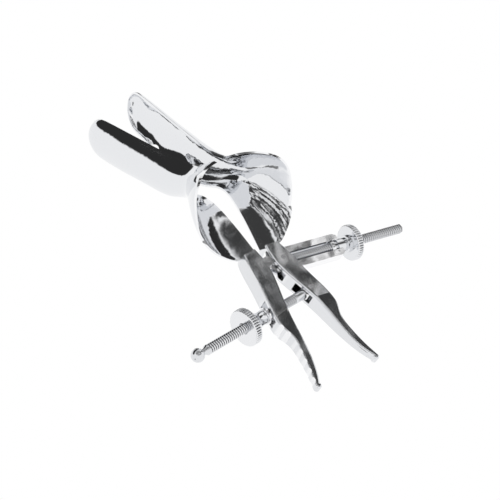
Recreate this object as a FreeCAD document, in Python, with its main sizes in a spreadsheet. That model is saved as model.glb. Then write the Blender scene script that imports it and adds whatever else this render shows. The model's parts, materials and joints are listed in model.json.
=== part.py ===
"""Bivalve speculum with two hinged trough blades, a side screw and an opening screw.

Working frame: X is the opening direction (far valve on +X), +Y points from the hinge
towards the blades, and Z is square to the broad faces of the handles. All in millimetres.
"""
import FreeCAD, Part
import math
import os
import Sketcher

V = FreeCAD.Vector
doc = FreeCAD.newDocument("speculum")

# driving dimensions
DIMS = [
    ("sheetWall", 1.4), ("partingGap", 0.6), ("bladeDrop", 23.8),
    ("throatY", 60.5), ("throatZ", 4.5), ("farBladeLength", 112.0), ("nearBladeLength", 95.0),
    ("bladeTop", 10.3), ("bladeBottom", 18.2), ("bladeDepth", 8.4), ("tipRun", 13.5),
    ("throatTop", 16.2), ("throatBottom", 6.7), ("throatDepth", 14.0),
    ("mouthTop", 29.0), ("mouthBottom", 16.0), ("mouthDepth", 32.5),
    ("handleThick", 12.0), ("gripThick", 6.4), ("handleEdge", 1.2),
    ("windowWide", 15.6), ("windowHigh", 6.8), ("windowExtra", 2.8), ("nearWindowWide", 17.0), ("nearWindowDeep", 8.0),
    ("rimFloor", 13.0), ("headEnd", 18.0), ("headRelief", 9.0),
    ("forkWide", 15.0), ("forkThick", 6.0), ("forkLength", 52.7), ("forkShoulder", 1.2),
    ("rodChannel", 6.8), ("stemWide", 6.8), ("hingeX", 1.5), ("hingePinDiameter", 2.6), ("lugRadius", 3.1),
    ("pinDiameter", 3.0), ("pinFit", 0.03), ("pinAX", 9.1), ("pinBX", 14.7), ("pinBY", 23.1),
    ("rodDiameter", 6.0), ("rodFit", 0.05), ("knuckleFit", 0.10), ("sideScrewEnd", 101.5), ("sideScrewStart", 4.4),
    ("nutDiameter", 22.0), ("nutRim", 4.2), ("hubDiameter", 8.4), ("hubFit", 0.35),
    ("flangeNutX", 59.6), ("hubStart", 45.4), ("grooveX", 49.0), ("grooveWide", 2.4),
    ("grooveDiameter", 7.0), ("keeperDiameter", 1.6), ("keeperFit", 0.3),
    ("screwSlotWide", 12.0), ("nearSlotWide", 14.0), ("nearSlotY", 25.0),
    ("screwLength", 86.0), ("ballDiameter", 8.0), ("eyeDiameter", 8.0), ("eyeThick", 5.2), ("restSwing", 11.8),
    ("restOpening", 14.8), ("seatAt", 32.3), ("seatThick", 2.0), ("seatDiameter", 10.0),
    ("trumpetLength", 17.3), ("noseDiameter", 9.0), ("runGap", 0.3),
    ("serrations", 7), ("serrationPitch", 5.6), ("serrationRadius", 2.6), ("serrationDepth", 0.8),
]
sheet = doc.addObject("Spreadsheet::Sheet", "sizes")
for row, (alias, value) in enumerate(DIMS, start=1):
    sheet.set(f"A{row}", alias)
    sheet.set(f"B{row}", str(value))
    sheet.setAlias(f"B{row}", alias)
doc.recompute()


def size(alias):
    """The value of one named cell."""
    return float(sheet.get(alias))


def bind(obj, **links):
    """Tie properties of an object to the sheet."""
    for prop, formula in links.items():
        obj.setExpression(prop.replace("__", "."), formula)


# every finished piece: name, object, group (root, fork, near, swing, travel)
pieces = []


def finish(name, obj, group):
    obj.Label = name
    pieces.append((name, obj, group))
    return obj


# formed sheet valves
def superPoint(angle, bottom, top, depth, power):
    """A point of a half section, from the lower parting edge over the outside to the upper."""
    middle = (top + bottom) / 2
    half = (top - bottom) / 2
    swing = abs(math.cos(angle)) if abs(abs(angle) - math.pi / 2) > 1e-9 else 0.0
    lift = math.sin(angle)
    return depth * swing ** (2 / power), middle + half * math.copysign(abs(lift) ** (2 / power), lift)


def valveStations(bladeLength):
    """Sections along the blade axis: place, lower edge, upper edge, depth, squareness."""
    throatTop, throatBottom, throatDepth = size("throatTop"), -size("throatBottom"), size("throatDepth")
    mouthTop, mouthBottom, mouthDepth = size("mouthTop"), -size("mouthBottom"), size("mouthDepth")
    bladeTop, bladeBottom, bladeDepth = size("bladeTop"), -size("bladeBottom"), size("bladeDepth")
    tipRun = size("tipRun")
    rows = [
        (-52, mouthBottom - 12, mouthTop + 2, mouthDepth + 0.5, 3.4),
        (-40, mouthBottom - 6, mouthTop + 1, mouthDepth + 0.5, 3.4),
        (-30, mouthBottom, mouthTop, mouthDepth, 3.2),
        (-20, (2 * mouthBottom + 3 * throatBottom) / 5 - 0.4, mouthTop - 1.5, mouthDepth - 4.5, 2.8),
        (-12, throatBottom - 0.9, (3 * mouthTop + 2 * throatTop) / 5 + 0.6, throatDepth + 8.5, 2.4),
        (-5, throatBottom + 0.4, throatTop + 3.3, throatDepth + 3, 2.1),
        (0, throatBottom, throatTop, throatDepth, 2.0),
        (8, throatBottom - 2.9, (throatTop + bladeTop) / 2 - 0.2, throatDepth - 2.2, 2.0),
        (20, bladeBottom + 3.2, bladeTop + 1.1, bladeDepth + 2, 2.0),
        (40, bladeBottom + 1, bladeTop + 0.4, bladeDepth + 0.8, 2.0),
        (65, bladeBottom, bladeTop, bladeDepth, 2.0),
        (bladeLength - tipRun - 2, bladeBottom, bladeTop - 0.3, bladeDepth - 1, 2.0),
    ]
    half = (bladeTop - 0.3 - bladeBottom) / 2
    middle = (bladeTop - 0.3 + bladeBottom) / 2
    for share in (0.45, 0.75, 0.93, 0.995):
        shrink = math.sqrt(1 - share ** 2)
        rows.append((bladeLength - tipRun + share * tipRun, middle - half * shrink,
                     middle + half * shrink, (bladeDepth - 1.1) * shrink ** 0.8, 2.0))
    return rows


SECTION_STEPS = 12


def sectionWire(station, inset, reach):
    """Closed half section; reach carries the inner form across the parting face."""
    place, bottom, top, depth, power = station
    points = []
    for step in range(SECTION_STEPS + 1):
        angle = math.pi * (step / SECTION_STEPS - 0.5)
        x, w = superPoint(angle, bottom + inset, top - inset, depth - inset, power)
        points.append(V(x, w, place))
    curve = Part.BSplineCurve()
    curve.interpolate(points)
    first, last = points[0], points[-1]
    corners = [last, V(-reach, last.y, place), V(-reach, first.y, place), first] if reach else [last, first]
    edges = [curve.toShape()]
    for start, end in zip(corners, corners[1:]):
        edges.append(Part.makeLine(start, end))
    return Part.Wire(edges)


# side view of the mouth rim: place along the blade axis, height across it
RIM = [(-3.5, 21.5), (-11.5, 23.4), (-19, 21.7), (-24, 14.0), (-27.8, 0.5), (-30.3, -8.0)]
# plan view of the lower wing's rim, from the side wall to the handle head: share of the mouth's depth, place
WING = [(1.092, 40), (1.015, 35), (0.932, 28.5), (0.831, 22.5), (0.646, 15.8), (0.477, 11.8), (0.246, 10.6), (-0.03, 10.4)]


def valveForms(bladeLength):
    """The trimmed sheet and the solid outer form, in the blade's own frame (Z to the tip)."""
    wall = size("sheetWall")
    stations = valveStations(bladeLength)
    outer = Part.makeLoft([sectionWire(s, 0, 0) for s in stations], True, False)
    inner = []
    for place, bottom, top, depth, power in stations:
        if (top - bottom) / 2 > 2.2 * wall:
            start = place - 3 if place == stations[0][0] else place
            inner.append(sectionWire((start, bottom, top, depth, power), wall, 4))
    sheetForm = outer.cut(Part.makeLoft(inner, True, False))
    rim = Part.BSplineCurve()
    rim.interpolate([V(-5, w, place) for place, w in RIM])
    away = [(-58, -21.0), (-75, -21.0), (-75, 50), (4, 50), RIM[0]]
    corners = [V(-5, RIM[-1][1], RIM[-1][0])] + [V(-5, w, place) for place, w in away]
    edges = [rim.toShape()] + [Part.makeLine(a, b) for a, b in zip(corners, corners[1:])]
    cutter = Part.Face(Part.Wire(edges)).extrude(V(60, 0, 0))
    trimmed = max(sheetForm.cut(cutter).Solids, key=lambda solid: solid.Volume)
    return trimmed, outer


def bladeFrame(shape, side):
    """From the blade's frame to the working frame, on one side of the parting face."""
    drop = math.radians(size("bladeDrop"))
    axis = V(0, math.cos(drop), -math.sin(drop))
    across = V(0, math.sin(drop), math.cos(drop))
    matrix = FreeCAD.Matrix(side, 0, 0, side * size("partingGap") / 2,
                            0, across.y, axis.y, size("throatY"),
                            0, across.z, axis.z, size("throatZ"),
                            0, 0, 0, 1)
    return shape.transformGeometry(matrix)


outerForms = {}


def wingCutter(side):
    """Everything in front of the lower wing's rim, below the level where the side rim takes over."""
    rim = Part.BSplineCurve()
    curve = [(share * size("mouthDepth"), y) for share, y in WING]
    rim.interpolate([V(side * x, y, -40) for x, y in curve])
    away = [curve[-1], (curve[-1][0], -30), (70, -30), (70, 34), curve[0]]
    corners = [V(side * x, y, -40) for x, y in away]
    edges = [rim.toShape()] + [Part.makeLine(a, b) for a, b in zip(corners, corners[1:])]
    return Part.Face(Part.Wire(edges)).extrude(V(0, 0, 40 + size("rimFloor")))


def makeValve(name, lengthCell, side, group):
    trimmed, outer = valveForms(size(lengthCell))
    cutter = wingCutter(side)
    valve = doc.addObject("Part::Feature", name)
    valve.Shape = max(bladeFrame(trimmed, side).cut(cutter).Solids, key=lambda solid: solid.Volume)
    form = doc.addObject("Part::Feature", name + "_form")
    form.Shape = bladeFrame(outer, side).cut(cutter)
    outerForms[side] = form
    return finish(name, valve, group)


makeValve("far_valve", "farBladeLength", 1, "root")
makeValve("near_valve", "nearBladeLength", -1, "near")

# handles: inner edge and outer edge in plan, from the head to the tip
INNER = [(2.6, 18), (2.6, 4), (2.9, 0), (6.9, -13), (15.0, -32), (19.0, -47), (22.9, -60), (26.8, -68.5), (30.6, -74.2)]
OUTER = [(34.0, -74.2), (30.2, -65), (26.5, -54), (24.9, -44.5), (26.2, -38), (25.4, -31), (22.0, -20), (17.3, -6), (13.4, 7),
         (11.2, 12), (8.2, 18)]
TIP = (32.9, -76.6)


def originPlane(body, role):
    return next(f for f in body.Origin.OriginFeatures if f.Role == role)


def sketchOn(body, role, name):
    sketch = body.newObject("Sketcher::SketchObject", name)
    sketch.AttachmentSupport = [(originPlane(body, role), "")]
    sketch.MapMode = "FlatFace"
    return sketch


def splineThrough(points):
    curve = Part.BSplineCurve()
    curve.interpolate(points)
    return curve


def handleBlank(name, side):
    """Forged bar: plan outline padded to full thickness, then thinned towards the grip."""
    body = doc.addObject("PartDesign::Body", name)
    plan = sketchOn(body, "XY_Plane", name + "_plan")
    inner = [V(side * x, y, 0) for x, y in INNER]
    outer = [V(side * x, y, 0) for x, y in OUTER]
    tip = V(side * TIP[0], TIP[1], 0)
    plan.addGeometry(splineThrough(inner))
    plan.addGeometry(Part.Arc(inner[-1], tip, outer[0]))
    plan.addGeometry(splineThrough(outer))
    plan.addGeometry(Part.LineSegment(outer[-1], inner[0]))
    pad = body.newObject("PartDesign::Pad", name + "_bar")
    pad.Profile = plan
    pad.Midplane = True
    bind(pad, Length="sizes.handleThick")
    doc.recompute()
    for up in (1, -1):
        thin = sketchOn(body, "YZ_Plane", f"{name}_thin{'Up' if up > 0 else 'Down'}")
        full = size("handleThick") / 2
        grip = size("gripThick") / 2
        path = [V(-30, up * full, 0), V(-42, up * (full - 0.9), 0), V(-56, up * (grip + 0.5), 0), V(-82, up * grip, 0)]
        thin.addGeometry(splineThrough(path))
        thin.addGeometry(Part.LineSegment(path[-1], V(-82, up * (full + 3), 0)))
        thin.addGeometry(Part.LineSegment(V(-82, up * (full + 3), 0), V(-30, up * (full + 3), 0)))
        thin.addGeometry(Part.LineSegment(V(-30, up * (full + 3), 0), path[0]))
        cut = body.newObject("PartDesign::Pocket", thin.Name + "_cut")
        cut.Profile = thin
        cut.Type = 1
        cut.Midplane = True
        doc.recompute()
    relief = sketchOn(body, "YZ_Plane", name + "_relief")
    low = -size("handleThick") / 2
    start, end = size("headRelief"), size("headEnd") + 1
    ring = [V(start, low, 0), V(end, 0.5, 0), V(end, low - 1, 0), V(start, low - 1, 0)]
    for a, b in zip(ring, ring[1:] + ring[:1]):
        relief.addGeometry(Part.LineSegment(a, b))
    cut = body.newObject("PartDesign::Pocket", name + "_reliefCut")
    cut.Profile = relief
    cut.Type = 1
    cut.Midplane = True
    doc.recompute()
    return body


def throughBox(name, x1, x2, y1, y2, high):
    """A box across the handle, used as a window."""
    box = doc.addObject("Part::Box", name)
    box.Length = x2 - x1
    box.Width = y2 - y1
    bind(box, Height=high)
    doc.recompute()
    box.Placement.Base = V(x1, y1, -box.Height.Value / 2)
    return box


def pinHole(name, x, y, diameter):
    hole = doc.addObject("Part::Cylinder", name)
    bind(hole, Radius=f"{diameter} / 2 + sizes.pinFit", Height="sizes.handleThick + 2")
    hole.Placement.Base = V(x, y, -size("handleThick") / 2 - 1)
    return hole


def cutAll(name, base, tools):
    """Chain of cuts, so that each tool stays an object of its own."""
    current = base
    for index, tool in enumerate(tools):
        cut = doc.addObject("Part::Cut", f"{name}_cut{index}")
        cut.Base = current
        cut.Tool = tool
        current = cut
    doc.recompute()
    return current


def roundEdges(name, base, radiusCell):
    """Round the long plan edges of a handle."""
    fillet = doc.addObject("Part::Fillet", name)
    fillet.Base = base
    limit = size("handleThick") / 2
    chosen = []
    for index, edge in enumerate(base.Shape.Edges, start=1):
        box = edge.BoundBox
        flat = box.ZLength < 4 and abs(box.Center.z) > size("gripThick") / 2 - 0.6 and abs(box.Center.z) <= limit
        if flat and edge.Length > 12 and box.YMin < -20:
            chosen.append((index, size(radiusCell), size(radiusCell)))
    fillet.Edges = chosen
    doc.recompute()
    return fillet


def serrationTools(side):
    """Shallow round grooves across the outer side of the grip."""
    tools = []
    for index in range(int(size("serrations"))):
        y = -36.5 - index * size("serrationPitch")
        x = interpolateOuter(y)
        groove = doc.addObject("Part::Cylinder", f"serration{index}")
        bind(groove, Radius="sizes.serrationRadius", Height="sizes.handleThick + 2")
        reach = x + size("serrationRadius") - size("serrationDepth")
        groove.Placement.Base = V(side * reach, y, -size("handleThick") / 2 - 1)
        tools.append(groove)
    return tools


def interpolateOuter(y):
    """Outer edge of the plan at a place along the handle."""
    ordered = sorted(OUTER, key=lambda p: p[1])
    for (x1, y1), (x2, y2) in zip(ordered, ordered[1:]):
        if y1 <= y <= y2:
            return x1 + (x2 - x1) * (y - y1) / (y2 - y1)
    return ordered[0][0]


farBar = roundEdges("far_bar_rounded", handleBlank("far_bar", 1), "handleEdge")
nearBar = roundEdges("near_bar_rounded", handleBlank("near_bar", -1), "handleEdge")

window = throughBox("far_window", -2, 30, -size("windowWide") / 2 - size("windowExtra"), size("windowWide") / 2, "sizes.windowHigh")
eyeSlot = throughBox("far_eye_slot", 0, size("pinBX") + size("eyeDiameter") / 2 + 0.6,
                     -size("pinBY") - size("screwSlotWide") / 2, -size("pinBY") + size("screwSlotWide") / 2, "sizes.windowHigh")
farHandle = cutAll("far_handle", farBar, [
    window, eyeSlot,
    pinHole("far_hole_a", size("pinAX"), 0, "sizes.pinDiameter"),
    pinHole("far_hole_b", size("pinBX"), -size("pinBY"), "sizes.pinDiameter"),
    outerForms[1]])
finish("far_handle", farHandle, "root")

# lugs of the near handle reach in to the hinge pin, above and below the fork's eye
lug = doc.addObject("Part::Cylinder", "near_lug")
bind(lug, Radius="sizes.lugRadius", Height="sizes.handleThick")
lug.Placement.Base = V(-size("hingeX"), 0, -size("handleThick") / 2)
lugRoot = throughBox("near_lug_root", -size("hingeX") - 3, -size("hingeX"), -size("lugRadius"), size("lugRadius"), "sizes.handleThick")
luggedBar = doc.addObject("Part::MultiFuse", "near_bar_lugged")
luggedBar.Shapes = [nearBar, lug, lugRoot]
nearWindow = throughBox("near_window", -size("nearWindowDeep"), 4, -size("nearWindowWide") / 2, size("nearWindowWide") / 2, "sizes.windowHigh")
nearSlot = throughBox("near_slot", -32, 0, -size("nearSlotY") - size("nearSlotWide") / 2,
                      -size("nearSlotY") + size("nearSlotWide") / 2, "sizes.windowHigh")
nearHandle = cutAll("near_handle", luggedBar, [
    nearWindow, nearSlot,
    pinHole("near_hole", -size("hingeX"), 0, "sizes.hingePinDiameter"),
    outerForms[-1]] + serrationTools(-1))
finish("near_handle", nearHandle, "near")


# turned pieces: half profiles revolved about the local X axis
def turned(name, profile, bore):
    """A body of revolution about X from (x, radius) pairs, with an optional bore."""
    body = doc.addObject("PartDesign::Body", name)
    sketch = sketchOn(body, "XY_Plane", name + "_profile")
    low = bore / 2
    points = [V(profile[0][0], low, 0)] + [V(x, r, 0) for x, r in profile] + [V(profile[-1][0], low, 0)]
    for start, end in zip(points, points[1:] + points[:1]):
        if (end - start).Length > 1e-6:
            sketch.addGeometry(Part.LineSegment(start, end))
    spin = body.newObject("PartDesign::Revolution", name + "_turn")
    spin.Profile = sketch
    spin.ReferenceAxis = (originAxis(body, "X_Axis"), [""])
    spin.Angle = 360
    doc.recompute()
    return body


def originAxis(body, role):
    return next(f for f in body.Origin.OriginFeatures if f.Role == role)


def plainPin(name, x, y, diameter, group):
    """A cross pin through a handle, flush with both broad faces."""
    pin = doc.addObject("Part::Cylinder", name)
    bind(pin, Radius=f"{diameter} / 2", Height="sizes.handleThick")
    pin.Placement.Base = V(x, y, -size("handleThick") / 2)
    return finish(name, pin, group)


plainPin("side_screw_pin", size("pinAX"), 0, "sizes.pinDiameter", "root")
plainPin("opening_screw_pin", size("pinBX"), -size("pinBY"), "sizes.pinDiameter", "root")
plainPin("hinge_pin", -size("hingeX"), 0, "sizes.hingePinDiameter", "pin")

# side screw: plain rod with a cross hole, held in the far handle
rod = size("rodDiameter") / 2
sideRod = turned("side_screw_rod", [
    (size("sideScrewStart"), rod), (size("sideScrewEnd") - 1.2, rod), (size("sideScrewEnd"), rod - 1.0)], 0)
sideScrew = cutAll("side_screw", sideRod, [pinHole("side_screw_hole", size("pinAX"), 0, "sizes.pinDiameter")])
finish("side_screw", sideScrew, "root")

# slide fork: two arms, knuckle stem and eye
forkBody = doc.addObject("PartDesign::Body", "fork_bar")
forkPlan = sketchOn(forkBody, "XY_Plane", "fork_plan")
half = size("forkWide") / 2
stem = size("stemWide") / 2
shoulder = size("forkShoulder")
hinge = V(-size("hingeX"), 0, 0)
corners = [V(hinge.x, stem, 0), V(shoulder - 1, stem, 0), V(shoulder + 0.6, half, 0),
           V(size("forkLength") - 2.5, half, 0), V(size("forkLength"), half - 1.5, 0),
           V(size("forkLength"), -half + 1.5, 0), V(size("forkLength") - 2.5, -half, 0),
           V(shoulder + 0.6, -half, 0), V(shoulder - 1, -stem, 0), V(hinge.x, -stem, 0)]
for start, end in zip(corners, corners[1:]):
    forkPlan.addGeometry(Part.LineSegment(start, end))
forkPlan.addGeometry(Part.Arc(corners[-1], V(hinge.x - stem, 0, 0), corners[0]))
forkPad = forkBody.newObject("PartDesign::Pad", "fork_pad")
forkPad.Profile = forkPlan
forkPad.Midplane = True
bind(forkPad, Length="sizes.forkThick")
doc.recompute()
channel = throughBox("fork_channel", size("sideScrewStart") - 0.8, size("forkLength") + 2,
                     -size("rodChannel") / 2, size("rodChannel") / 2, "sizes.forkThick + 2")
hubBore = doc.addObject("Part::Cylinder", "fork_hub_bore")
bind(hubBore, Radius="sizes.hubDiameter / 2 + sizes.hubFit", Height="sizes.forkLength - sizes.hubStart + 3")
hubBore.Placement = FreeCAD.Placement(V(size("hubStart") - 1, 0, 0), FreeCAD.Rotation(V(0, 1, 0), 90))


def keeperPin(name, sign, radius):
    pin = doc.addObject("Part::Cylinder", name)
    bind(pin, Radius=radius, Height="sizes.forkThick")
    offset = size("grooveDiameter") / 2 + size("keeperFit") + size("keeperDiameter") / 2
    pin.Placement.Base = V(size("grooveX"), sign * offset, -size("forkThick") / 2)
    return pin


forkHole = doc.addObject("Part::Cylinder", "fork_hinge_hole")
bind(forkHole, Radius="sizes.hingePinDiameter / 2 + sizes.knuckleFit", Height="sizes.forkThick + 2")
forkHole.Placement.Base = V(hinge.x, 0, -size("forkThick") / 2 - 1)
fork = cutAll("slide_fork", forkBody, [
    channel, hubBore, forkHole,
    keeperPin("keeper_hole_up", 1, "sizes.keeperDiameter / 2"),
    keeperPin("keeper_hole_down", -1, "sizes.keeperDiameter / 2")])
finish("slide_fork", fork, "fork")
keepers = doc.addObject("Part::Compound", "nut_keeper_pins")
keepers.Links = [keeperPin("keeper_up", 1, "sizes.keeperDiameter / 2"),
                 keeperPin("keeper_down", -1, "sizes.keeperDiameter / 2")]
finish("nut_keeper_pins", keepers, "fork")

# flange nut with its grooved hub
nutRadius = size("nutDiameter") / 2
hub = size("hubDiameter") / 2
bore = size("rodDiameter") + 2 * size("rodFit")
face = size("flangeNutX")
grooveHalf = size("grooveWide") / 2
grooveAt = size("grooveX")
grooveRadius = size("grooveDiameter") / 2
flangeNut = turned("flange_nut", [
    (size("hubStart"), hub), (grooveAt - grooveHalf, hub), (grooveAt - grooveHalf, grooveRadius),
    (grooveAt + grooveHalf, grooveRadius), (grooveAt + grooveHalf, hub), (face - 2.4, hub), (face - 2.0, hub + 0.9),
    (face, hub + 1.1), (face, nutRadius - 0.7), (face + 0.7, nutRadius), (face + size("nutRim") - 0.7, nutRadius),
    (face + size("nutRim"), nutRadius - 0.7)], bore)
finish("flange_nut", flangeNut, "fork")

# opening screw with its eye, ball and nuts, drawn along +X from the eye
eyeRadius = size("eyeDiameter") / 2
length = size("screwLength")
screwRod = turned("opening_screw_rod", [
    (2.0, rod), (length - 6.5, rod), (length - 4.6, rod - 1.2), (length - 3.0, rod - 1.3)], 0)
eye = doc.addObject("Part::Cylinder", "opening_screw_eye")
bind(eye, Radius="sizes.eyeDiameter / 2", Height="sizes.eyeThick")
eye.Placement.Base = V(0, 0, -size("eyeThick") / 2)
screwBlank = doc.addObject("Part::Fuse", "opening_screw_blank")
screwBlank.Base = screwRod
screwBlank.Tool = eye
eyeHole = doc.addObject("Part::Cylinder", "opening_screw_eye_hole")
bind(eyeHole, Radius="sizes.pinDiameter / 2 + sizes.rodFit", Height="sizes.handleThick")
eyeHole.Placement.Base = V(0, 0, -size("handleThick") / 2)
ballTool = doc.addObject("Part::Sphere", "ball_socket")
bind(ballTool, Radius="sizes.ballDiameter / 2")
ballTool.Placement.Base = V(length, 0, 0)
openingScrew = cutAll("opening_screw", screwBlank, [eyeHole, ballTool])
finish("opening_screw", openingScrew, "swing")
ball = doc.addObject("Part::Sphere", "ball_stop")
bind(ball, Radius="sizes.ballDiameter / 2")
ball.Placement.Base = V(length, 0, 0)
finish("ball_stop", ball, "swing")

seat = size("seatAt")
seatEnd = seat + size("seatThick")
seatRing = turned("seat_ring", [
    (seat, size("rodDiameter") / 2 + 0.6), (seat + 0.5, size("seatDiameter") / 2 - 0.8),
    (seat + 1.1, size("seatDiameter") / 2), (seatEnd, size("seatDiameter") / 2)], bore)
finish("seat_ring", seatRing, "travel")
nose = size("noseDiameter") / 2
nutStart = seatEnd
nutEnd = nutStart + size("trumpetLength")
flare = size("trumpetLength") - size("nutRim")
profile = [(nutStart, nose)]
FLARE_STEPS = 8
for step in range(1, FLARE_STEPS + 1):
    share = step / FLARE_STEPS
    profile.append((nutStart + 1.6 + (flare - 1.6) * share, nose - 0.4 + (nutRadius - nose + 0.4) * share ** 2.6))
profile += [(nutEnd - 0.7, nutRadius), (nutEnd, nutRadius - 0.7)]
profile.insert(1, (nutStart + 1.4, nose))
trumpet = turned("trumpet_nut", profile, bore)
finish("trumpet_nut", trumpet, "travel")

doc.recompute()

# assembly: near side turned open, opening screw swung, and the whole stood on its handle and blade tips
turn = FreeCAD.Placement(V(0, 0, 0), FreeCAD.Rotation(V(0, 0, 1), size("restOpening")), V(-size("hingeX"), 0, 0))
swing = FreeCAD.Placement(V(size("pinBX"), -size("pinBY"), 0), FreeCAD.Rotation(V(0, 0, 1), 180 + size("restSwing")))
local = {"root": FreeCAD.Placement(), "fork": FreeCAD.Placement(), "near": turn, "pin": turn, "swing": swing, "travel": swing}


# at rest both handle tips and the far blade's tip touch the table: a first guess, then three corrections
shapes = {name: (obj.Shape, local[group]) for name, obj, group in pieces}


def attitude(lean, roll):
    about = FreeCAD.Rotation(V(0, 1, 0), roll).multiply(FreeCAD.Rotation(V(1, 0, 0), lean))
    return FreeCAD.Placement(V(0, 0, 0), about)


def lowest(name, tilt):
    """Height of a piece's lowest point."""
    shape, place = shapes[name]
    moved = shape.copy()
    moved.Placement = tilt.multiply(place).multiply(moved.Placement)
    return moved.optimalBoundingBox(False).ZMin


drop = math.radians(size("bladeDrop"))
reach = size("throatY") + size("farBladeLength") * math.cos(drop) - TIP[1]
span = TIP[0] - turn.multVec(V(-TIP[0], TIP[1], 0)).x
lean, roll = 13.0, 1.5
for round_ in range(3):
    tilt = attitude(lean, roll)
    farTip, nearTip, bladeTip = lowest("far_handle", tilt), lowest("near_handle", tilt), lowest("far_valve", tilt)
    roll += math.degrees((farTip - nearTip) / span)
    lean -= math.degrees((bladeTip - (farTip + nearTip) / 2) / reach)
tilt = attitude(lean, roll)
whole = FreeCAD.BoundBox()
for name, obj, group in pieces:
    placed = obj.Shape.copy()
    placed.Placement = tilt.multiply(local[group]).multiply(placed.Placement)
    whole.add(placed.optimalBoundingBox(False))
stand = FreeCAD.Placement(V(-whole.Center.x, -whole.Center.y, -whole.ZMin), FreeCAD.Rotation()).multiply(tilt)
for name, obj, group in pieces:
    obj.Placement = stand.multiply(local[group]).multiply(obj.Placement)
doc.recompute()

# checks and export
for obj in doc.Objects:
    if "Invalid" in obj.State or "Error" in obj.State:
        raise RuntimeError(f"{obj.Name} is {obj.State}")
os.makedirs("parts", exist_ok=True)
total = 0
for name, obj, group in pieces:
    shape = obj.Shape
    if shape.isNull() or not shape.isValid():
        raise RuntimeError(f"{name} has no valid shape")
    total += shape.Volume
    print(name, group, "solids", len(shape.Solids), "volume", round(shape.Volume, 1))
    shape.exportStep(f"parts/{name}.step")
print("stand", [round(v, 8) for v in stand.toMatrix().A])
print("size", [round(v, 1) for v in (whole.XLength, whole.YLength, whole.ZLength)])
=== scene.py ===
import bpy, bmesh, math
from mathutils import Vector, Matrix, Quaternion
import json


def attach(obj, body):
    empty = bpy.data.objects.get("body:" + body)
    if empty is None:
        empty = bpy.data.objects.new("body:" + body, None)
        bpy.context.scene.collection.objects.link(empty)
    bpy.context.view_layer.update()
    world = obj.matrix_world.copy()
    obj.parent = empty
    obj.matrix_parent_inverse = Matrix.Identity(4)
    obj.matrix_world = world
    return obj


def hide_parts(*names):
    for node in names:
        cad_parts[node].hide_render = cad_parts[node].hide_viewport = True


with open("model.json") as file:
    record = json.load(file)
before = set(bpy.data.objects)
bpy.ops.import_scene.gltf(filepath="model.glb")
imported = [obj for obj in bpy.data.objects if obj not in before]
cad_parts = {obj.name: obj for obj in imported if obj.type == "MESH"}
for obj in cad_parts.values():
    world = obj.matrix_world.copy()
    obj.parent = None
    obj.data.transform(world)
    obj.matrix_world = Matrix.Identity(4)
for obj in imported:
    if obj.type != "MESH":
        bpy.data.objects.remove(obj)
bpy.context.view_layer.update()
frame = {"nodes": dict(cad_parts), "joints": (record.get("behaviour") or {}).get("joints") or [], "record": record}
nodes = frame["nodes"]
joints = {joint["name"]: joint for joint in frame["joints"]}
mm = 0.001
scene = bpy.context.scene
scene.view_settings.view_transform = "Standard"


# node helpers
def setInputs(node, **values):
    for key, value in values.items():
        node.inputs[key.replace("_", " ")].default_value = value
    return node


def groupTree(name, inputs, outputs):
    tree = bpy.data.node_groups.new(name, "ShaderNodeTree")
    for label, kind, value in inputs:
        socket = tree.interface.new_socket(name=label, in_out="INPUT", socket_type=kind)
        socket.default_value = value
    for label, kind in outputs:
        tree.interface.new_socket(name=label, in_out="OUTPUT", socket_type=kind)
    return tree, tree.nodes.new("NodeGroupInput"), tree.nodes.new("NodeGroupOutput")


# polish smears: faint cloudy changes of roughness, from wiping and handling
def makeSmears():
    inputs = [("Scale", "NodeSocketFloat", 60.0), ("Low", "NodeSocketFloat", 0.04),
              ("High", "NodeSocketFloat", 0.12)]
    tree, given, result = groupTree("polishSmears", inputs, [("Roughness", "NodeSocketFloat")])
    coord = tree.nodes.new("ShaderNodeTexCoord")
    noise = setInputs(tree.nodes.new("ShaderNodeTexNoise"), Detail=4.0, Roughness=0.6)
    spread = tree.nodes.new("ShaderNodeMapRange")
    spread.inputs["From Min"].default_value = 0.35
    spread.inputs["From Max"].default_value = 0.7
    tree.links.new(coord.outputs["Object"], noise.inputs["Vector"])
    tree.links.new(given.outputs["Scale"], noise.inputs["Scale"])
    tree.links.new(noise.outputs["Fac"], spread.inputs["Value"])
    tree.links.new(given.outputs["Low"], spread.inputs["To Min"])
    tree.links.new(given.outputs["High"], spread.inputs["To Max"])
    tree.links.new(spread.outputs["Result"], result.inputs["Roughness"])
    return tree


# forged ripple: long shallow waves left by hand polishing
def makeRipple():
    inputs = [("Scale", "NodeSocketFloat", 40.0), ("Height", "NodeSocketFloat", 0.0001),
              ("Fine", "NodeSocketFloat", 0.1)]
    tree, given, result = groupTree("handRipple", inputs, [("Normal", "NodeSocketVector")])
    coord = tree.nodes.new("ShaderNodeTexCoord")
    wide = setInputs(tree.nodes.new("ShaderNodeTexNoise"), Detail=1.0)
    fine = setInputs(tree.nodes.new("ShaderNodeTexNoise"), Scale=900.0, Detail=3.0)
    mix = tree.nodes.new("ShaderNodeMath")
    mix.operation = "MULTIPLY_ADD"
    bump = setInputs(tree.nodes.new("ShaderNodeBump"), Strength=1.0)
    tree.links.new(coord.outputs["Object"], wide.inputs["Vector"])
    tree.links.new(coord.outputs["Object"], fine.inputs["Vector"])
    tree.links.new(given.outputs["Scale"], wide.inputs["Scale"])
    tree.links.new(fine.outputs["Fac"], mix.inputs[0])
    tree.links.new(given.outputs["Fine"], mix.inputs[1])
    tree.links.new(wide.outputs["Fac"], mix.inputs[2])
    tree.links.new(mix.outputs["Value"], bump.inputs["Height"])
    tree.links.new(given.outputs["Height"], bump.inputs["Distance"])
    tree.links.new(bump.outputs["Normal"], result.inputs["Normal"])
    return tree


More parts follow.
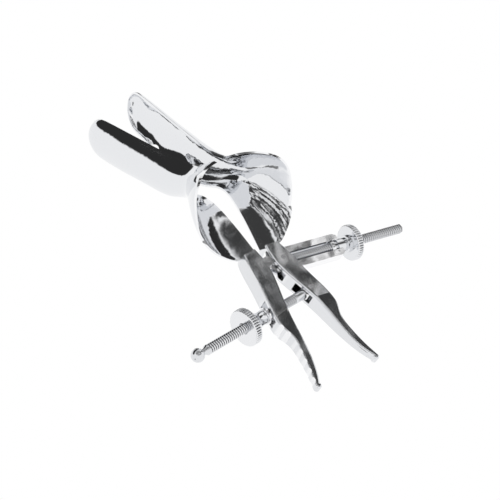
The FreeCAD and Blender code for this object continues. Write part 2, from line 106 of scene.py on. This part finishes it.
# painted highlight and painted shade: edges painted a touch brighter than the hollows, hollows painted darker
def makeEdgeWear():
    inputs = [("Base", "NodeSocketColor", (0.8, 0.8, 0.82, 1)),
              ("Edge", "NodeSocketColor", (0.95, 0.95, 0.96, 1)),
              ("Hollow", "NodeSocketColor", (0.5, 0.5, 0.52, 1))]
    tree, given, result = groupTree("edgeGlintAndCavityShade", inputs, [("Color", "NodeSocketColor")])
    geometry = tree.nodes.new("ShaderNodeNewGeometry")
    # convex edges lightened: painted highlight
    edge = tree.nodes.new("ShaderNodeMapRange")
    edge.inputs["From Min"].default_value = 0.52
    edge.inputs["From Max"].default_value = 0.62
    # concave hollows darkened: painted shade
    hollowShade = tree.nodes.new("ShaderNodeMapRange")
    hollowShade.inputs["From Min"].default_value = 0.47
    hollowShade.inputs["From Max"].default_value = 0.38
    first = tree.nodes.new("ShaderNodeMixRGB")
    second = tree.nodes.new("ShaderNodeMixRGB")
    for ramp in (edge, hollowShade):
        tree.links.new(geometry.outputs["Pointiness"], ramp.inputs["Value"])
    tree.links.new(edge.outputs["Result"], first.inputs["Fac"])
    tree.links.new(given.outputs["Base"], first.inputs["Color1"])
    tree.links.new(given.outputs["Edge"], first.inputs["Color2"])
    tree.links.new(hollowShade.outputs["Result"], second.inputs["Fac"])
    tree.links.new(first.outputs["Color"], second.inputs["Color1"])
    tree.links.new(given.outputs["Hollow"], second.inputs["Color2"])
    tree.links.new(second.outputs["Color"], result.inputs["Color"])
    return tree


smears, ripple, edgeGlintAndCavityShade = makeSmears(), makeRipple(), makeEdgeWear()


def useGroup(tree, group, **values):
    node = tree.nodes.new("ShaderNodeGroup")
    node.node_tree = group
    for key, value in values.items():
        node.inputs[key].default_value = value
    return node


def polishedSteel(name, look):
    material = bpy.data.materials.new(name)
    material.use_nodes = True
    tree = material.node_tree
    shader = tree.nodes["Principled BSDF"]
    setInputs(shader, Metallic=1.0, IOR=2.5)
    color = useGroup(tree, edgeGlintAndCavityShade, Base=(*look["base"], 1), Edge=(*look["edge"], 1),
                     Hollow=(*look["hollowShade"], 1))
    rough = useGroup(tree, smears, Scale=look["smearScale"], Low=look["roughLow"], High=look["roughHigh"])
    wave = useGroup(tree, ripple, Scale=look["rippleScale"], Height=look["rippleHeight"] * mm,
                    Fine=look["fine"])
    tree.links.new(color.outputs["Color"], shader.inputs["Base Color"])
    tree.links.new(rough.outputs["Roughness"], shader.inputs["Roughness"])
    tree.links.new(wave.outputs["Normal"], shader.inputs["Normal"])
    return material


# three tones (base, painted edge highlight, painted hollow shade), the smears' scale and roughness, and the
# ripple's scale, height in mm and share of fine grain
looks = {
    "valve_steel": dict(base=(0.80, 0.81, 0.83), edge=(0.96, 0.96, 0.97), hollowShade=(0.62, 0.63, 0.65),
                        smearScale=50, roughLow=0.03, roughHigh=0.09,
                        rippleScale=28, rippleHeight=0.35, fine=0.01),
    "handle_steel": dict(base=(0.76, 0.77, 0.79), edge=(0.95, 0.95, 0.96), hollowShade=(0.45, 0.46, 0.48),
                         smearScale=70, roughLow=0.06, roughHigh=0.14,
                         rippleScale=45, rippleHeight=0.6, fine=0.01),
    "pin_steel": dict(base=(0.62, 0.63, 0.65), edge=(0.8, 0.8, 0.82), hollowShade=(0.4, 0.4, 0.42),
                      smearScale=200, roughLow=0.12, roughHigh=0.22,
                      rippleScale=200, rippleHeight=0.02, fine=0.1),
    "screw_steel": dict(base=(0.74, 0.75, 0.77), edge=(0.95, 0.95, 0.96), hollowShade=(0.3, 0.3, 0.32),
                        smearScale=120, roughLow=0.1, roughHigh=0.2,
                        rippleScale=120, rippleHeight=0.02, fine=0.05),
    "nut_steel": dict(base=(0.78, 0.79, 0.81), edge=(0.96, 0.96, 0.97), hollowShade=(0.4, 0.41, 0.43),
                      smearScale=90, roughLow=0.05, roughHigh=0.13,
                      rippleScale=80, rippleHeight=0.05, fine=0.02),
    # painted shade: a dark steel for deep grooves, standing in for the shade that falls in them
    "groove_shade_steel": dict(base=(0.16, 0.16, 0.17), edge=(0.3, 0.3, 0.31), hollowShade=(0.08, 0.08, 0.09),
                         smearScale=150, roughLow=0.25, roughHigh=0.4,
                         rippleScale=150, rippleHeight=0.01, fine=0.05),
}
materials = {name: polishedSteel(name, look) for name, look in looks.items()}
slotOf = {part["node"]: part["material_slot"] for part in frame["record"]["subparts"]}


# materials and smooth faces with sharp creases kept; deep grooves take the second slot, dull and painted dark as
# shade
def finishMesh(obj, slot, angle):
    grooved = [face.index for face in obj.data.polygons if face.material_index == 1]
    obj.data.materials.clear()
    obj.data.materials.append(materials[slot])
    if grooved:
        # grooved faces get the dark painted-shade steel
        obj.data.materials.append(materials["groove_shade_steel"])
        for index in grooved:
            obj.data.polygons[index].material_index = 1
    for face in obj.data.polygons:
        face.use_smooth = True
    modifier = obj.modifiers.new("evenNormals", "WEIGHTED_NORMAL")
    modifier.keep_sharp = True
    obj.data.set_sharp_from_angle(angle=math.radians(angle))


creaseAngle = dict(valve=40, other=32, lathed=50, rod=60, eye=40)
for nodeName, obj in nodes.items():
    finishMesh(obj, slotOf[nodeName], creaseAngle["valve" if "valve" in nodeName else "other"])
print("CAD nodes have their steel")


# turned pieces with their fine detail
# local X along direction, local Z near across, placed at point
def axisMatrix(point, direction, across):
    x = Vector(direction).normalized()
    z = (Vector(across) - Vector(across).dot(x) * x).normalized()
    y = z.cross(x)
    matrix = Matrix((x, y, z)).transposed().to_4x4()
    matrix.translation = point
    return matrix


grooveShadeLimit = 0.36  # mm; deeper than this a groove gets the dull, dark painted-shade steel


# revolve (x, radius) in mm about X; ridge(x, angle) lowers the radius, and a bore closes the profile
def lathe(name, profile, turns, ridge=None, bore=False):
    bm = bmesh.new()
    rings, depths = [], []
    for x, radius in profile:
        ring, cuts = [], []
        for step in range(turns):
            angle = 2 * math.pi * step / turns
            depth = ridge(x, angle) if ridge else 0
            r = radius - depth
            ring.append(bm.verts.new((x * mm, r * math.cos(angle) * mm, r * math.sin(angle) * mm)))
            cuts.append(depth)
        rings.append(ring)
        depths.append(cuts)
    pairs = list(range(len(rings) - 1)) + ([-1] if bore else [])
    for index in pairs:
        first, second = rings[index], rings[index + 1]
        for step in range(turns):
            after = (step + 1) % turns
            face = bm.faces.new((first[step], first[after], second[after], second[step]))
            around = [depths[ring][turn] for ring in (index, index + 1) for turn in (step, after)]
            # faces deep in a groove get the painted-shade slot
            if sum(around) / len(around) > grooveShadeLimit:
                face.material_index = 1
    if not bore:
        bm.faces.new(rings[0][::-1])
        bm.faces.new(rings[-1])
    bmesh.ops.recalc_face_normals(bm, faces=bm.faces)
    mesh = bpy.data.meshes.new(name)
    bm.to_mesh(mesh)
    bm.free()
    obj = bpy.data.objects.new(name, mesh)
    scene.collection.objects.link(obj)
    return obj


nAxis = Vector(joints["blade_open"]["axis"])
sideAxis = -Vector(joints["side_nut_spin"]["axis"])
armAxis = Vector(joints["nut_travel"]["axis"])
pinB = Vector(joints["screw_swing"]["pos_m"])
nutFace = Vector(joints["side_nut_spin"]["pos_m"])
sideFrame = axisMatrix(nutFace, sideAxis, nAxis)
armFrame = axisMatrix(pinB, armAxis, nAxis)


# extra points along a profile so that ridges have something to cut
def spread(points, maxStep):
    full = [points[0]]
    for (x1, r1), (x2, r2) in zip(points, points[1:]):
        count = max(1, int(abs(x2 - x1) / maxStep))
        full += [(x1 + (x2 - x1) * k / count, r1 + (r2 - r1) * k / count) for k in range(1, count + 1)]
    return full


def clamp(value):
    return min(1.0, max(0.0, value))


# in mm: root is the flat share at the groove's bottom, slope the share of each flank
thread = dict(pitch=1.5, depth=0.62, crest=2.98, steps=10, turns=40, root=0.1, slope=0.75,
              runIn=1.5, runOut=0.8)


# depth of a rounded V thread at x and angle, fading out at both ends
def threadRidge(start, end):
    def ridge(x, angle):
        phase = (x / thread["pitch"] - angle / (2 * math.pi)) % 1.0
        wave = clamp((abs(2 * phase - 1) - thread["root"]) / thread["slope"])
        fade = clamp((x - start) / thread["runIn"]) * clamp((end - x) / thread["runOut"])
        return thread["depth"] * (1 - wave) * fade
    return ridge


def threadedRod(name, profile, start, end):
    pieces = spread(profile, thread["pitch"] / thread["steps"])
    return lathe(name, pieces, thread["turns"], threadRidge(start, end))


# side screw, measured from the flange nut's near face
sideScrew = dict(tail=-55.2, tip=41.8, bevel=1.2, bevelIn=1.0, plainTail=9, plainTip=0.4)
tip, crest = sideScrew["tip"], thread["crest"]
sideProfile = [(sideScrew["tail"], crest), (tip - sideScrew["bevel"], crest),
               (tip, crest - sideScrew["bevelIn"])]
sideRod = threadedRod("sideScrewThread", sideProfile, sideScrew["tail"] + sideScrew["plainTail"],
                      tip - sideScrew["plainTip"])
sideRod.matrix_world = sideFrame
finishMesh(sideRod, "screw_steel", creaseAngle["rod"])
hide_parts("side_screw")
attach(sideRod, "far_side")

# opening screw: eye, threaded arm and tapered end under the ball
arm = dict(start=3.2, end=79.5, neck=81.4, neckRadius=1.8, last=83.2, lastRadius=1.65, plainStart=6,
           plainEnd=0.5)
armProfile = [(arm["start"], crest), (arm["end"], crest), (arm["neck"], arm["neckRadius"]),
              (arm["last"], arm["lastRadius"])]
armRod = threadedRod("openingScrewThread", armProfile, arm["start"] + arm["plainStart"],
                     arm["end"] - arm["plainEnd"])
armRod.matrix_world = armFrame
finishMesh(armRod, "screw_steel", creaseAngle["rod"])
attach(armRod, "screw_arm")
ring = dict(radius=4.0, half=2.6, bore=1.55, bevel=0.5, turns=40)
ringProfile = [(-ring["half"], ring["radius"] - ring["bevel"]), (-ring["half"] + ring["bevel"], ring["radius"]),
               (ring["half"] - ring["bevel"], ring["radius"]), (ring["half"], ring["radius"] - ring["bevel"]),
               (ring["half"], ring["bore"]), (-ring["half"], ring["bore"])]
eye = lathe("openingScrewEye", ringProfile, ring["turns"], bore=True)
eye.matrix_world = axisMatrix(pinB, nAxis, armAxis)
finishMesh(eye, "screw_steel", creaseAngle["eye"])
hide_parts("opening_screw")
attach(eye, "screw_arm")
print("threaded rods are in place")

# nuts with coarse straight knurls on their rims
knurl = dict(teeth=44, depth=0.55, runIn=0.5, sharpness=1.6, pointsPerTooth=8)
knurlTurns = knurl["teeth"] * knurl["pointsPerTooth"]


def knurlRidge(start, end):
    def ridge(x, angle):
        if x < start or x > end:
            return 0.0
        edge = min(1.0, (x - start) / knurl["runIn"], (end - x) / knurl["runIn"])
        phase = (angle * knurl["teeth"] / (2 * math.pi)) % 1.0
        wave = abs(2 * phase - 1)
        return knurl["depth"] * edge * max(0.0, 1 - wave * knurl["sharpness"])
    return ridge


nut = dict(radius=11.0, rim=4.2, hub=4.2, groove=3.5, bore=3.05, tail=-14.2)
rimSoft, rimDrop, rimIn, rimOut = 0.25, 0.35, 0.9, 0.7
hubBevel = 0.2
nutProfile = [(nut["tail"], nut["hub"] - hubBevel), (nut["tail"] + hubBevel, nut["hub"]),
              (-11.8, nut["hub"]), (-11.8, nut["groove"]), (-9.4, nut["groove"]), (-9.4, nut["hub"]),
              (-2.4, nut["hub"]), (-2.0, nut["hub"] + 0.9), (0.0, nut["hub"] + 1.1),
              (0.0, nut["radius"] - rimIn), (rimSoft, nut["radius"] - rimDrop), (rimOut, nut["radius"])]
nutProfile += [(rimOut + 0.35 * step, nut["radius"]) for step in range(1, 9)]
nutProfile += [(nut["rim"] - rimSoft, nut["radius"] - rimDrop), (nut["rim"], nut["radius"] - rimIn),
               (nut["rim"], nut["bore"] + 0.5), (nut["rim"] - 0.5, nut["bore"]), (nut["tail"], nut["bore"])]
knurlGap = 0.3
flangeNut = lathe("knurledFlangeNut", nutProfile, knurlTurns, knurlRidge(knurlGap, nut["rim"] - knurlGap),
                  bore=True)
flangeNut.matrix_world = sideFrame
finishMesh(flangeNut, "nut_steel", creaseAngle["lathed"])
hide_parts("flange_nut")
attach(flangeNut, "side_nut")

trumpet = dict(start=34.3, length=17.3, nose=4.5, noseLength=1.4, bevel=0.3, neckAt=1.6, neckIn=0.4,
               curve=2.6, steps=14)
first = trumpet["start"]
last = first + trumpet["length"]
neckLength = trumpet["length"] - nut["rim"] - trumpet["neckAt"]
neckRadius = trumpet["nose"] - trumpet["neckIn"]
trumpetProfile = [(first, trumpet["nose"] - trumpet["bevel"]), (first + trumpet["bevel"], trumpet["nose"]),
                  (first + trumpet["noseLength"], trumpet["nose"])]
for step in range(trumpet["steps"] + 1):
    share = step / trumpet["steps"]
    trumpetProfile.append((first + trumpet["neckAt"] + neckLength * share,
                           neckRadius + (nut["radius"] - neckRadius) * share ** trumpet["curve"]))
trumpetProfile += [(last - nut["rim"] + 0.35 * step, nut["radius"]) for step in range(1, 11)]
trumpetProfile += [(last - rimSoft, nut["radius"] - rimDrop), (last, nut["radius"] - rimIn),
                   (last, nut["bore"] + 0.6), (last - 0.6, nut["bore"]), (first, nut["bore"])]
trumpetNut = lathe("knurledTrumpetNut", trumpetProfile, knurlTurns,
                   knurlRidge(last - nut["rim"], last - knurlGap), bore=True)
trumpetNut.matrix_world = armFrame
finishMesh(trumpetNut, "nut_steel", creaseAngle["lathed"])
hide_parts("trumpet_nut")
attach(trumpetNut, "opening_nut")
print("knurled nuts are in place")

# white studio: black cards for the steel to mirror, a cloudy ceiling, and white behind the object
world = bpy.data.worlds.new("studio")
scene.world = world
world.use_nodes = True
sky = world.node_tree
sky.nodes.clear()
ceiling = dict(low=0.66, high=0.78, dark=0.05, light=0.95, cloudFrom=0.46, cloudTo=0.58, scale=8.0,
               distortion=0.8)
# each card: where it hangs (azimuth in degrees and height), its half width and half height, and its grey
cards = [dict(azimuth=105, height=0.36, across=0.76, up=0.34, grey=0.03),
         dict(azimuth=17, height=0.42, across=0.17, up=0.32, grey=0.03),
         dict(azimuth=62, height=-0.2, across=0.16, up=0.36, grey=0.1),
         dict(azimuth=-154, height=-0.5, across=0.1, up=0.22, grey=0.2)]


# fill named sockets with a value or with another node's output
def skyLink(node, **sockets):
    for name, part in sockets.items():
        socket = node.inputs[name.replace("_", " ")]
        if hasattr(part, "is_output"):
            sky.links.new(part, socket)
        else:
            socket.default_value = part
    return node


def skyRamp(value, start, end, low, high):
    node = sky.nodes.new("ShaderNodeMapRange")
    node.interpolation_type = "SMOOTHSTEP"
    skyLink(node, Value=value, From_Min=start, From_Max=end, To_Min=low, To_Max=high)
    return node.outputs["Result"]


def skyMath(kind, *parts):
    node = sky.nodes.new("ShaderNodeMath")
    node.operation = kind
    for socket, part in zip(node.inputs, parts):
        if hasattr(part, "is_output"):
            sky.links.new(part, socket)
        else:
            socket.default_value = part
    return node.outputs["Value"]


coord = sky.nodes.new("ShaderNodeTexCoord")
ray = coord.outputs["Generated"]


# how far the mirrored ray points along a direction
def along(direction, scale=1.0):
    node = sky.nodes.new("ShaderNodeVectorMath")
    node.operation = "DOT_PRODUCT"
    sky.links.new(ray, node.inputs[0])
    node.inputs[1].default_value = [part * scale for part in direction]
    return node.outputs["Value"]


# the ovals are a little squarer than ellipses, and their edges are soft
ovalPower, softFrom, softTo = 2.6, 1.25, 0.75


def ovalTerm(direction, halfSize):
    return skyMath("POWER", skyMath("ABSOLUTE", along(direction, 1 / halfSize)), ovalPower)


# 1 inside a card, 0 outside
def cardMask(card):
    turn = math.radians(card["azimuth"])
    rise = math.sqrt(1 - card["height"] ** 2)
    centre = Vector((rise * math.cos(turn), rise * math.sin(turn), card["height"]))
    side = Vector((-math.sin(turn), math.cos(turn), 0))
    top = centre.cross(side)
    distance = skyMath("ADD", ovalTerm(side, card["across"]), ovalTerm(top, card["up"]))
    oval = skyRamp(distance, softFrom, softTo, 0.0, 1.0)
    return skyMath("MULTIPLY", oval, skyRamp(along(centre), 0.0, 0.1, 0.0, 1.0))


noise = skyLink(sky.nodes.new("ShaderNodeTexNoise"), Vector=ray, Scale=ceiling["scale"], Detail=1.5,
                Distortion=ceiling["distortion"])
clouds = skyRamp(noise.outputs["Fac"], ceiling["cloudFrom"], ceiling["cloudTo"],
                 ceiling["dark"], ceiling["light"])
room = skyRamp(along((0, 0, 1)), ceiling["low"], ceiling["high"], 1.0, clouds)
for card in cards:
    room = skyRamp(cardMask(card), 0.0, 1.0, room, card["grey"])
path = sky.nodes.new("ShaderNodeLightPath")
seen = skyRamp(path.outputs["Is Camera Ray"], 0.0, 1.0, room, 1.0)
glow = skyLink(sky.nodes.new("ShaderNodeBackground"), Color=seen)
out = sky.nodes.new("ShaderNodeOutputWorld")
sky.links.new(glow.outputs["Background"], out.inputs["Surface"])

# camera where the photo was taken from
view = dict(place=(-0.42708, -0.46640, 0.55924), aim=(-0.01956, -0.03184, 0.02408), roll=15.80, lens=99.5,
            sensor=36, nearest=0.01)
cameraData = bpy.data.cameras.new("photoCamera")
cameraData.lens = view["lens"]
cameraData.sensor_width = view["sensor"]
cameraData.clip_start = view["nearest"]
camera = bpy.data.objects.new("photoCamera", cameraData)
scene.collection.objects.link(camera)
scene.camera = camera
look = Vector(view["aim"]) - Vector(view["place"])
camera.rotation_mode = "QUATERNION"
camera.rotation_quaternion = look.to_track_quat("-Z", "Y") @ Quaternion((0, 0, 1), math.radians(view["roll"]))
camera.location = view["place"]
print("studio and camera are set")
